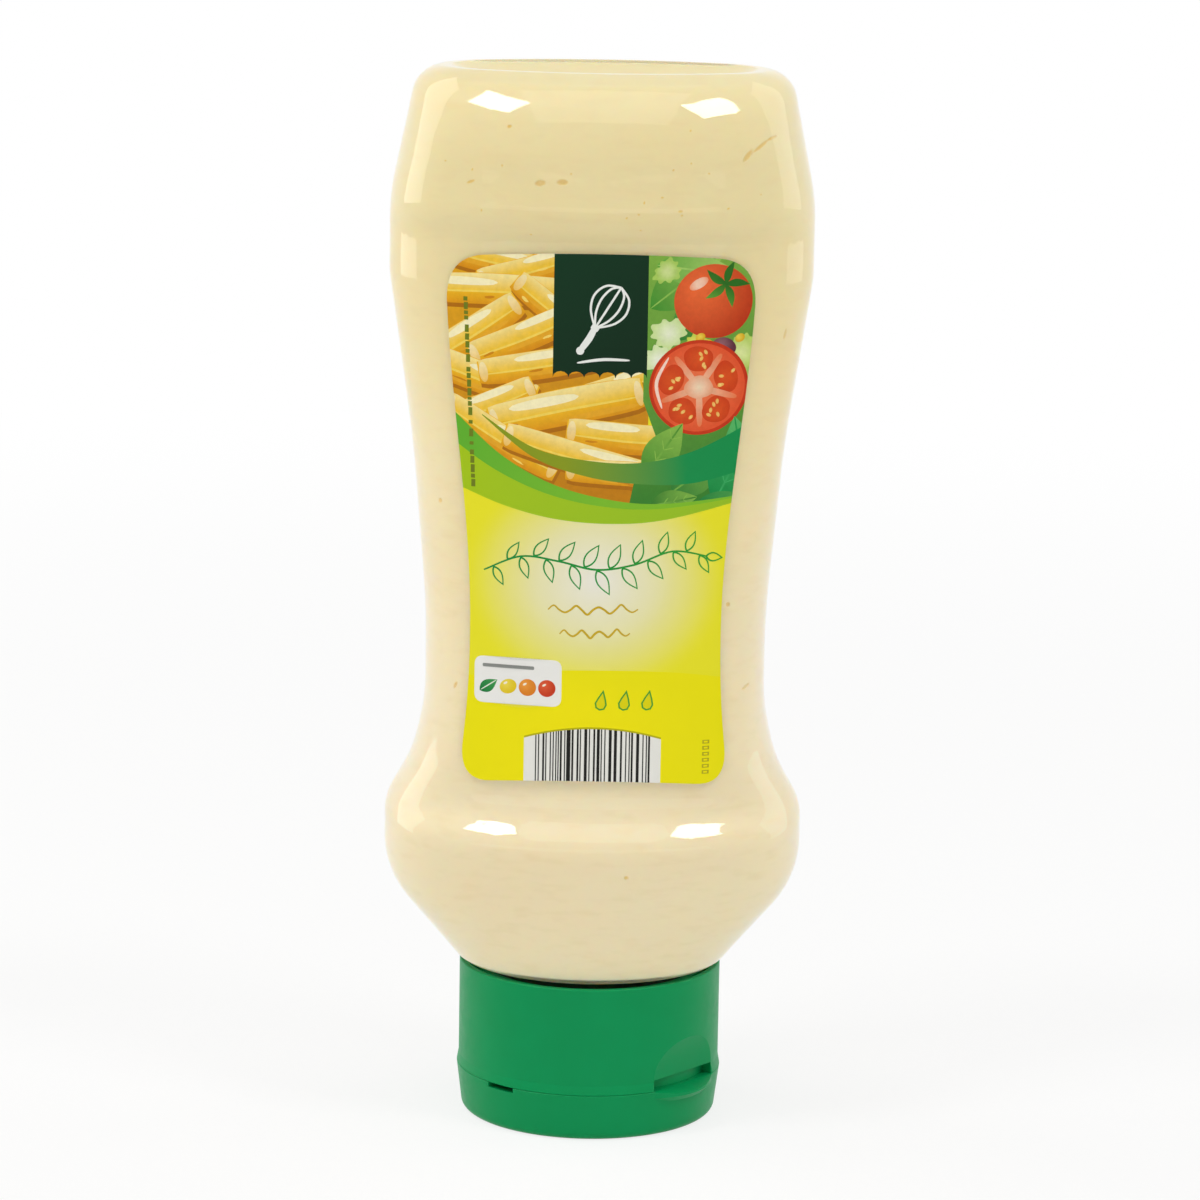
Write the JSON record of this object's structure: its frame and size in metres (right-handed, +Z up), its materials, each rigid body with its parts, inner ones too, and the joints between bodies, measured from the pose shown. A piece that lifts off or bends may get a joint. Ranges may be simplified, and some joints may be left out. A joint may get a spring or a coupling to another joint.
{
  "type": "squeeze bottle of mayonnaise",
  "caption": "Clear oval squeeze bottle full of mayonnaise, standing head down on its green flip-top cap, with a label front and back.",
  "frame": {"origin": "middle of the flip lid's flat outer face, on which the bottle stands head down", "axes": "+Z up, from the lid to the bottle's base; +X across the wide front, to the reader's right; -Y out of the front label"},
  "size_m": [0.0794, 0.0582, 0.2],
  "materials": {
    "clear_pet": "clear blown PET, glossy",
    "mayonnaise": "smooth pale cream emulsion",
    "label_film": "printed self-adhesive film, satin",
    "green_pp": "moulded green polypropylene, fine satin texture"
  },
  "bodies": {
    "root": {"bottle": "clear_pet", "mayonnaise": "mayonnaise", "label_front": "label_film", "label_back": "label_film", "cap_body": "green_pp", "flip_lid": "green_pp", "living_hinge": "green_pp"}
  },
  "joints": []
}
